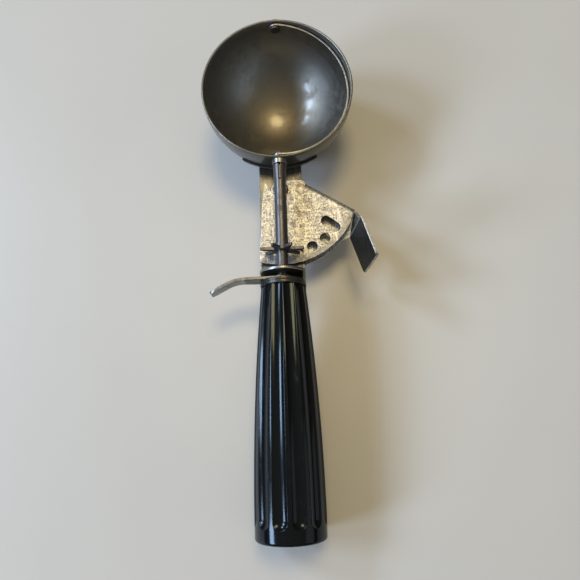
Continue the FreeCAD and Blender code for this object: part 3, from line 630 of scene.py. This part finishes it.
def make_mottle_group():
    """Soft blotches, such as films, stains and handled spots."""
    tree, given, out = new_group(
        "mottle", [("Vector", None), ("Scale", 60.0), ("Low", 0.4), ("High", 0.65)],
        ["Mask"])
    blotch = put(tree, "ShaderNodeTexNoise", {
        "Vector": given.outputs["Vector"], "Scale": given.outputs["Scale"],
        "Detail": 5.0, "Roughness": 0.6, "Distortion": 0.4})
    level = put(tree, "ShaderNodeMapRange", {
        "Value": blotch.outputs[0], "From Min": given.outputs["Low"],
        "From Max": given.outputs["High"]}, interpolation_type="SMOOTHSTEP")
    tree.links.new(level.outputs[0], out.inputs["Mask"])


def make_scratch_group():
    """Thin stray scratches in three directions."""
    tree, given, out = new_group(
        "stray_scratches", [("Vector", None), ("Scale", 120.0), ("Width", 0.03)],
        ["Mask"])
    most = 0.0
    for turn in (0.6, -0.9, 1.9):
        lay = put(tree, "ShaderNodeMapping", {
            "Vector": given.outputs["Vector"], "Rotation": (0.3, 0.2, turn),
            "Scale": (1.0, 0.06, 1.0)})
        cell = put(tree, "ShaderNodeTexVoronoi", {
            "Vector": lay.outputs[0], "Scale": given.outputs["Scale"]},
            feature="DISTANCE_TO_EDGE")
        line = put(tree, "ShaderNodeMapRange", {
            "Value": cell.outputs[0], "From Max": given.outputs["Width"],
            "To Min": 1.0, "To Max": 0.0})
        most = maths(tree, "MAXIMUM", line.outputs[0], most)
    patch = put(tree, "ShaderNodeTexNoise", {
        "Vector": given.outputs["Vector"], "Scale": 150.0, "Detail": 2.0})
    there = put(tree, "ShaderNodeMapRange", {
        "Value": patch.outputs[0], "From Min": 0.5, "From Max": 0.62})
    tree.links.new(maths(tree, "MULTIPLY", most, there.outputs[0]), out.inputs["Mask"])


def make_edge_group():
    """Edges that handling has rubbed bright, broken up along their length."""
    tree, given, out = new_group("edge_wear", [("Vector", None), ("Amount", 0.8)], ["Edge"])
    worn = put(tree, "ShaderNodeAttribute", attribute_name="worn")
    rag = put(tree, "ShaderNodeTexNoise", {
        "Vector": given.outputs["Vector"], "Scale": 500.0, "Detail": 3.0})
    kept = put(tree, "ShaderNodeMapRange", {
        "Value": rag.outputs[0], "From Min": 0.35, "From Max": 0.6,
        "To Max": given.outputs["Amount"]})
    edge = maths(tree, "MULTIPLY", worn.outputs["Fac"], kept.outputs[0])
    tree.links.new(edge, out.inputs["Edge"])


def make_shade_and_darkening_group():
    """The faces picked to be painted darker, by how dark each of them is: painted shade in
    the lever's holes, a plain darkening elsewhere.
    """
    tree, given, out = new_group("shade_and_darkening_cover", [("Amount", 0.93)], ["Mask"])
    shade_and_darkening = put(tree, "ShaderNodeAttribute", attribute_name="shade_and_darkening")
    mask = maths(tree, "MULTIPLY", shade_and_darkening.outputs["Fac"], given.outputs["Amount"])
    tree.links.new(mask, out.inputs["Mask"])


def make_reach_group():
    """Distance from a line along Z, as a 0 to 1 share between two radii."""
    tree, given, out = new_group(
        "reach", [("Vector", None), ("Near", 0.0), ("Far", 0.03)], ["Share"])
    flat = put(tree, "ShaderNodeVectorMath", {0: given.outputs["Vector"], 1: (1, 1, 0)},
               operation="MULTIPLY")
    length = put(tree, "ShaderNodeVectorMath", {0: flat.outputs[0]}, operation="LENGTH")
    share = put(tree, "ShaderNodeMapRange", {
        "Value": length.outputs["Value"], "From Min": given.outputs["Near"],
        "From Max": given.outputs["Far"]}, interpolation_type="SMOOTHSTEP")
    tree.links.new(share.outputs[0], out.inputs["Share"])


def use_group(tree, name, feeds):
    """One output of a placed group: each group here puts out a single mask."""
    node = put(tree, "ShaderNodeGroup", node_tree=bpy.data.node_groups[name])
    for socket, source in feeds.items():
        if isinstance(source, bpy.types.NodeSocket):
            tree.links.new(source, node.inputs[socket])
        else:
            node.inputs[socket].default_value = source
    return node.outputs[0]


def new_material(name):
    """A material with one Principled shader, and the object's own coordinates. The CAD
    nodes' plain materials have the slots' names, so these get names of their own."""
    material = bpy.data.materials.new(f"{name}_finish")
    material.use_nodes = True
    tree = material.node_tree
    tree.nodes.clear()
    shader = put(tree, "ShaderNodeBsdfPrincipled")
    out = put(tree, "ShaderNodeOutputMaterial")
    tree.links.new(shader.outputs[0], out.inputs[0])
    here = put(tree, "ShaderNodeTexCoord").outputs["Object"]
    return tree, shader, here


def from_centre(tree, here, centre):
    """Object coordinates moved so that they count from a centre."""
    return put(tree, "ShaderNodeMapping", {
        "Vector": here, "Location": tuple(-value for value in centre)}).outputs[0]


# The near-black that picked faces are painted towards: painted shade in the lever's holes, a
# plain darkening on the pad, the frame and the stacked plates
SHADE_AND_DARKENING = (0.022, 0.02, 0.015)


def make_steel(name, colour, tarnish, grain, rough, film, scratches=0.5, bump=0.2,
               speckle=0.0, edge=0.8, coat=0.0, tint_by=None):
    """Sheet or turned steel: brushing along one way, a film of tarnish, speckles, stray
    scratches, rubbed edges, and picked faces painted darker, which is painted shade in the
    lever's holes. tint_by may change the colour by its own mask."""
    tree, shader, here = new_material(name)
    lay = put(tree, "ShaderNodeMapping", {"Vector": here, "Scale": grain})
    marks = use_group(tree, "brush_marks", {"Vector": lay.outputs[0]})
    spots = use_group(tree, "mottle", {"Vector": here, "Scale": 300.0, "Low": 0.42,
                                       "High": 0.62})
    clouds = use_group(tree, "mottle", {"Vector": here, "Scale": 60.0, "Low": 0.35,
                                        "High": 0.7})
    lines = use_group(tree, "stray_scratches", {"Vector": here, "Scale": 260.0})
    rubbed = use_group(tree, "edge_wear", {"Vector": here, "Amount": edge})
    stain = maths(tree, "MULTIPLY", spots, clouds)
    base = tint_by(tree, here, colour) if tint_by else colour
    tint = blend_colours(tree, maths(tree, "MULTIPLY", stain, film), base, tarnish)
    if speckle:
        dots = use_group(tree, "mottle", {"Vector": here, "Scale": 1700.0, "Low": 0.44,
                                          "High": 0.58})
        dim = [channel * 0.35 for channel in colour]
        tint = blend_colours(tree, maths(tree, "MULTIPLY", dots, speckle), tint, dim)
    bright = [min(1.0, channel * 1.35 + 0.12) for channel in colour]
    tint = blend_colours(tree, maths(tree, "MULTIPLY", lines, scratches), tint, bright)
    tint = blend_colours(tree, rubbed, tint, bright)
    # Picked faces painted towards near-black: painted shade in the lever's holes, a plain
    # darkening elsewhere
    tint = blend_colours(tree, use_group(tree, "shade_and_darkening_cover", {}), tint, SHADE_AND_DARKENING)
    tree.links.new(tint, shader.inputs["Base Color"])
    sheen = put(tree, "ShaderNodeMapRange", {
        "Value": marks, "To Min": rough[0], "To Max": rough[1]}).outputs[0]
    tree.links.new(maths(tree, "MULTIPLY_ADD", stain, 0.15, sheen),
                   shader.inputs["Roughness"])
    height = maths(tree, "SUBTRACT", marks, lines)
    relief = put(tree, "ShaderNodeBump", {"Strength": bump, "Distance": 0.02 * MM,
                                          "Height": height})
    tree.links.new(relief.outputs[0], shader.inputs["Normal"])
    shader.inputs["Metallic"].default_value = 1.0
    shader.inputs["Coat Weight"].default_value = coat
    shader.inputs["Coat Roughness"].default_value = 0.18


def leaf_tint(tree, here, colour):
    """The lever's leaves: painted shade along the round edge, greyer there as if the edge
    were bent away from the light.
    """
    rim_shade_colour = [channel * share for channel, share in zip(colour, (0.52, 0.55, 0.6))]
    rim = use_group(tree, "reach", {"Vector": from_centre(tree, here, PIVOT),
                                    "Near": 30.6 * MM, "Far": 31.9 * MM})
    # Painted shade in a band along the leaf's round edge
    return blend_colours(tree, maths(tree, "MULTIPLY", rim, 0.85), colour, rim_shade_colour)


def bowl_tint(tree, here, colour):
    """The bowl: a painted brown reflection in the middle of the cup, plainer to its rim,
    darker outside.
    """
    brown_reflection = [channel * share for channel, share in zip(colour, (0.84, 0.72, 0.56))]
    out = use_group(tree, "reach", {"Vector": from_centre(tree, here, BOWL_CENTRE),
                                    "Near": 8 * MM, "Far": 28 * MM})
    # Painted reflection: brown in the middle of the cup, fading out towards the rim
    inside = blend_colours(tree, out, brown_reflection, colour)
    away = put(tree, "ShaderNodeVectorMath", {0: here, 1: tuple(BOWL_CENTRE)},
               operation="DISTANCE").outputs["Value"]
    skin = put(tree, "ShaderNodeMapRange", {
        "Value": away, "From Min": BOWL_RADIUS - 0.7 * MM,
        "From Max": BOWL_RADIUS - 0.3 * MM}).outputs[0]
    return blend_colours(tree, skin, inside, [channel * 0.5 for channel in colour])


def make_plastic(colours):
    """Glossy black moulding with fine rub marks and a little dust."""
    tree, shader, here = new_material("handle_plastic")
    lines = use_group(tree, "stray_scratches", {"Vector": here, "Scale": 200.0,
                                                "Width": 0.02})
    haze = use_group(tree, "mottle", {"Vector": here, "Scale": 45.0, "Low": 0.35,
                                      "High": 0.8})
    dust = use_group(tree, "mottle", {"Vector": here, "Scale": 900.0, "Low": 0.69,
                                      "High": 0.75})
    tint = blend_colours(tree, maths(tree, "MULTIPLY", dust, 0.3), colours.handle,
                         (0.07, 0.066, 0.06))
    tint = blend_colours(tree, maths(tree, "MULTIPLY", lines, 0.2), tint,
                         (0.02, 0.02, 0.022))
    tree.links.new(tint, shader.inputs["Base Color"])
    gloss = put(tree, "ShaderNodeMapRange", {"Value": haze, "To Min": 0.11, "To Max": 0.19})
    tree.links.new(maths(tree, "MULTIPLY_ADD", lines, 0.12, gloss.outputs[0]),
                   shader.inputs["Roughness"])
    wave = put(tree, "ShaderNodeTexNoise", {"Vector": here, "Scale": 120.0,
                                            "Detail": 2.0})
    relief = put(tree, "ShaderNodeBump", {"Strength": 0.1, "Distance": 0.05 * MM,
                                          "Height": wave.outputs[0]})
    tree.links.new(relief.outputs[0], shader.inputs["Normal"])
    shader.inputs["IOR"].default_value = 1.5
    shader.inputs["Specular IOR Level"].default_value = 0.28
    shader.inputs["Specular Tint"].default_value = (0.72, 0.88, 1.0, 1.0)


class SCOOP_OT_finishes(bpy.types.Operator):
    """Make the finish of each of the record's material slots"""

    bl_idname = "scoop.finishes"
    bl_label = "Finishes"

    def execute(self, context):
        colours = context.scene.scoop_colours
        tarnish = tuple(colours.tarnish)
        make_brush_group()
        make_mottle_group()
        make_scratch_group()
        make_edge_group()
        make_shade_and_darkening_group()
        make_reach_group()
        make_plastic(colours)
        make_steel("frame_steel", tuple(colours.frame_sheet), tarnish, (1.0, 0.05, 1.0),
                   rough=(0.27, 0.42), film=0.6, speckle=0.3)
        make_steel("lever_steel", tuple(colours.lever_sheet), tuple(colours.blush),
                   (0.08, 1.0, 1.0), rough=(0.42, 0.58), film=0.6, scratches=0.7,
                   speckle=0.95, bump=0.3, tint_by=leaf_tint)
        make_steel("bowl_steel", tuple(colours.bowl_sheet), tarnish, (1.0, 1.0, 1.0),
                   rough=(0.41, 0.5), film=0.12, scratches=0.1, bump=0.06, edge=0.1,
                   coat=0.8, tint_by=bowl_tint)
        make_steel("blade_steel", tuple(colours.blade_sheet), tarnish, (1.0, 0.1, 1.0),
                   rough=(0.34, 0.44), film=0.08, scratches=0.2, edge=1.0)
        make_steel("shaft_steel", tuple(colours.shaft_rod), tarnish, (1.0, 0.06, 1.0),
                   rough=(0.32, 0.46), film=0.4, scratches=0.25, edge=0.4)
        make_steel("fastener_steel", tuple(colours.fastener), tarnish, (1.0, 1.0, 0.1),
                   rough=(0.2, 0.4), film=0.8, scratches=0.3)
        make_steel("spring_steel", tuple(colours.spring_wire), tarnish, (1.0, 1.0, 1.0),
                   rough=(0.4, 0.6), film=0.8, scratches=0.1)
        return {"FINISHED"}


# The floor's half width, and the point that the lights face
FLOOR_HALF = 2.5
LIT_POINT = Vector((0, 150 * MM, 0))

# Panes on the left, each by its place along Y and Z, and the share of their power that the
# far wall throws back
PANE_X = -1.5
PANES = ((-0.45, 0.85), (0.30, 1.10), (1.10, 1.33))
PANE_SIZE = (0.44, 0.42)
PANE_COLOUR = (0.61, 0.765, 1.0)
FAR_WALL_PLACE = Vector((1.6, -0.35, 0.85))
FAR_WALL_SIZE = (0.9, 0.9)
FAR_WALL_COLOUR = (0.92, 0.95, 1.0)
FAR_WALL_SHARE = 0.1
LAMP_PLACE = Vector((0.08, 0.72, 1.5))
LAMP_SIZE = (0.58, 0.58)
LAMP_COLOUR = (1.0, 0.79, 0.42)

# The room's soft light by where it comes from, before the sky's strength scales it
LEFT_WALL = (0.42, 0.44, 0.46)
RIGHT_WALL = (0.20, 0.18, 0.15)
NEAR_WALL = (0.12, 0.11, 0.10)
CEILING = (1.7, 1.55, 1.22)


def add_light(name, power, size, place, colour, shape="RECTANGLE"):
    """An area light that faces the scoop."""
    data = bpy.data.lights.new(name, "AREA")
    data.energy = power
    data.shape = shape
    data.size, data.size_y = size
    data.color = colour
    thing = bpy.data.objects.new(name, data)
    thing.location = place
    thing.rotation_euler = (LIT_POINT - place).to_track_quat("-Z", "Y").to_euler()
    bpy.context.scene.collection.objects.link(thing)


class SCOOP_OT_studio(bpy.types.Operator):
    """Lay the floor that the bowl and the butt rest on, and set lights and camera"""

    bl_idname = "scoop.studio"
    bl_label = "Studio"

    def execute(self, context):
        studio = context.scene.scoop_studio
        scene = context.scene
        butt = -HANDLE_LOW.z
        away = math.hypot(BOWL_CENTRE.y, butt)
        slope = math.atan2(butt, BOWL_CENTRE.y) - math.asin(BOWL_RADIUS / away)

        work = bmesh.new()
        bmesh.ops.create_grid(work, x_segments=8, y_segments=8, size=FLOOR_HALF)
        bmesh.ops.rotate(work, verts=work.verts, matrix=Matrix.Rotation(slope, 3, "X"))
        bmesh.ops.translate(work, verts=work.verts, vec=(0, 0, -butt))
        floor = new_piece("floor", work)
        tree, shader, here = new_material("floor")
        patch = use_group(tree, "mottle", {"Vector": here, "Scale": 12.0, "Low": 0.2,
                                           "High": 0.9})
        pale = tuple(scene.scoop_colours.floor)
        dim = [channel * 0.96 for channel in pale]
        tree.links.new(blend_colours(tree, patch, pale, dim), shader.inputs["Base Color"])
        shader.inputs["Roughness"].default_value = 0.4
        floor.data.materials.append(bpy.data.materials["floor_finish"])

        world = bpy.data.worlds.new("soft_room")
        world.use_nodes = True
        room = world.node_tree
        back = room.nodes["Background"]
        way = put(room, "ShaderNodeTexCoord").outputs["Generated"]
        sides = put(room, "ShaderNodeSeparateXYZ", {0: way}).outputs
        lift = put(room, "ShaderNodeMapRange", {"Value": sides[2], "From Min": 0.1,
                                                "From Max": 0.9}).outputs[0]
        beyond = put(room, "ShaderNodeMapRange", {"Value": sides[1], "From Min": -0.9,
                                                  "From Max": 0.3}).outputs[0]
        right = put(room, "ShaderNodeMapRange", {"Value": sides[0], "From Min": -0.5,
                                                 "From Max": 0.6}).outputs[0]
        wall = blend_colours(room, right, LEFT_WALL, RIGHT_WALL)
        wall = blend_colours(room, beyond, NEAR_WALL, wall)
        room.links.new(blend_colours(room, lift, wall, CEILING), back.inputs[0])
        back.inputs[1].default_value = studio.sky
        scene.world = world

        for number, (y, z) in enumerate(PANES, 1):
            add_light(f"pane_{number}", studio.window_power, PANE_SIZE,
                      Vector((PANE_X, y, z)), PANE_COLOUR)
        add_light("far_wall", studio.window_power * FAR_WALL_SHARE, FAR_WALL_SIZE,
                  FAR_WALL_PLACE, FAR_WALL_COLOUR)
        add_light("lamp", studio.lamp_power, LAMP_SIZE, LAMP_PLACE, LAMP_COLOUR, "DISK")
        scene.view_settings.view_transform = "Standard"

        data = bpy.data.cameras.new("camera")
        data.sensor_width = 36
        data.lens = studio.camera_lens
        data.clip_start = 10 * MM
        camera = bpy.data.objects.new("camera", data)
        camera.location = studio.camera_place
        camera.rotation_euler = studio.camera_turn
        scene.collection.objects.link(camera)
        scene.camera = camera
        return {"FINISHED"}


class SCOOP_PT_panel(bpy.types.Panel):
    """Lists the steps that make the scoop"""

    bl_label = "Ice Cream Scoop"
    bl_idname = "SCOOP_PT_panel"
    bl_space_type = "VIEW_3D"
    bl_region_type = "UI"
    bl_category = "Scoop"

    def draw(self, context):
        for step in STEPS:
            self.layout.operator(step.bl_idname)


GROUPS = (ScoopSizes, ScoopColours, ScoopStudio)
STEPS = (
    SCOOP_OT_finishes,
    SCOOP_OT_handle,
    SCOOP_OT_plates,
    SCOOP_OT_lever,
    SCOOP_OT_pivot,
    SCOOP_OT_spring,
    SCOOP_OT_bowl,
    SCOOP_OT_scraper,
    SCOOP_OT_studio,
)


def register():
    for item in (*GROUPS, *STEPS, SCOOP_PT_panel):
        bpy.utils.register_class(item)
    bpy.types.Scene.scoop_sizes = PointerProperty(type=ScoopSizes)
    bpy.types.Scene.scoop_colours = PointerProperty(type=ScoopColours)
    bpy.types.Scene.scoop_studio = PointerProperty(type=ScoopStudio)


def unregister():
    del bpy.types.Scene.scoop_studio
    del bpy.types.Scene.scoop_colours
    del bpy.types.Scene.scoop_sizes
    for item in reversed((*GROUPS, *STEPS, SCOOP_PT_panel)):
        bpy.utils.unregister_class(item)


def main():
    register()
    for step in STEPS:
        namespace, name = step.bl_idname.split(".")
        getattr(getattr(bpy.ops, namespace), name)()


if __name__ == "__main__":
    main()
